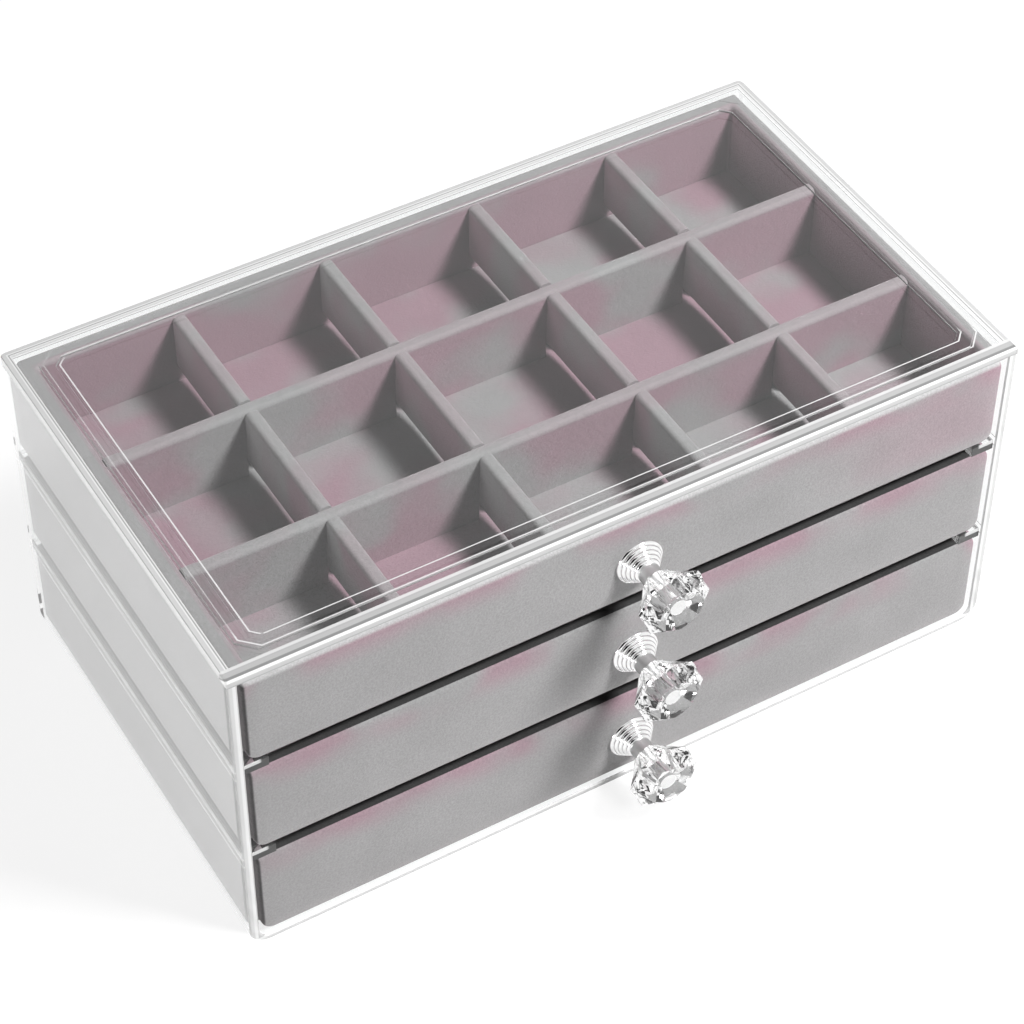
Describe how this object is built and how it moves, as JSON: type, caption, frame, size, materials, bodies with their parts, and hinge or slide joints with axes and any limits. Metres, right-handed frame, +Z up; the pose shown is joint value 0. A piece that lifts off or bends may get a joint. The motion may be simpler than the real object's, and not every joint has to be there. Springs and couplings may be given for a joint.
{
  "type": "jewelry box",
  "caption": "Clear jewellery case with stacked velvet-covered drawers, divided into compartments, each pulled out by a faceted crystal knob on a stepped metal rosette.",
  "frame": {"origin": "centre of the case's flat underside", "axes": "+Z up, the drawer fronts and knobs face -Y, +X to the right seen from the front"},
  "size_m": [0.235, 0.1535, 0.1055],
  "materials": {
    "clear_acrylic": "polished clear",
    "velvet": "short velvet pile",
    "velvet_front": "short velvet pile",
    "velvet_pad": "short velvet pile over foam",
    "velvet_divider": "short velvet pile",
    "chrome": "polished",
    "satin_metal": "satin",
    "crystal": "cut and polished",
    "screw_steel": "zinc plated"
  },
  "bodies": {
    "case": {"case_shell": "clear_acrylic", "top_panel": "clear_acrylic", "lower_left_rail": "clear_acrylic", "lower_right_rail": "clear_acrylic", "upper_left_rail": "clear_acrylic", "upper_right_rail": "clear_acrylic"},
    "bottom_drawer": {"bottom_tray": "velvet", "bottom_front": "velvet_front", "bottom_floor_pad": "velvet_pad", "bottom_back_divider": "velvet_divider", "bottom_front_divider": "velvet_divider", "bottom_cross_divider_1": "velvet_divider", "bottom_cross_divider_2": "velvet_divider", "bottom_cross_divider_3": "velvet_divider", "bottom_cross_divider_4": "velvet_divider", "bottom_knob_rosette": "chrome", "bottom_knob_stem": "satin_metal", "bottom_knob_crystal": "crystal", "bottom_knob_screw": "screw_steel"},
    "middle_drawer": {"middle_tray": "velvet", "middle_front": "velvet_front", "middle_floor_pad": "velvet_pad", "middle_back_divider": "velvet_divider", "middle_front_divider": "velvet_divider", "middle_cross_divider_1": "velvet_divider", "middle_cross_divider_2": "velvet_divider", "middle_cross_divider_3": "velvet_divider", "middle_cross_divider_4": "velvet_divider", "middle_knob_rosette": "chrome", "middle_knob_stem": "satin_metal", "middle_knob_crystal": "crystal", "middle_knob_screw": "screw_steel"},
    "top_drawer": {"top_tray": "velvet", "top_front": "velvet_front", "top_floor_pad": "velvet_pad", "top_back_divider": "velvet_divider", "top_front_divider": "velvet_divider", "top_cross_divider_1": "velvet_divider", "top_cross_divider_2": "velvet_divider", "top_cross_divider_3": "velvet_divider", "top_cross_divider_4": "velvet_divider", "top_knob_rosette": "chrome", "top_knob_stem": "satin_metal", "top_knob_crystal": "crystal", "top_knob_screw": "screw_steel"}
  },
  "joints": [
    {"name": "top_drawer_slide", "type": "slide", "parent": "case", "child": "top_drawer", "axis": [0, -1, 0], "range_m": [0, 0.115]},
    {"name": "middle_drawer_slide", "type": "slide", "parent": "case", "child": "middle_drawer", "axis": [0, -1, 0], "range_m": [0, 0.115]},
    {"name": "bottom_drawer_slide", "type": "slide", "parent": "case", "child": "bottom_drawer", "axis": [0, -1, 0], "range_m": [0, 0.115]}
  ]
}
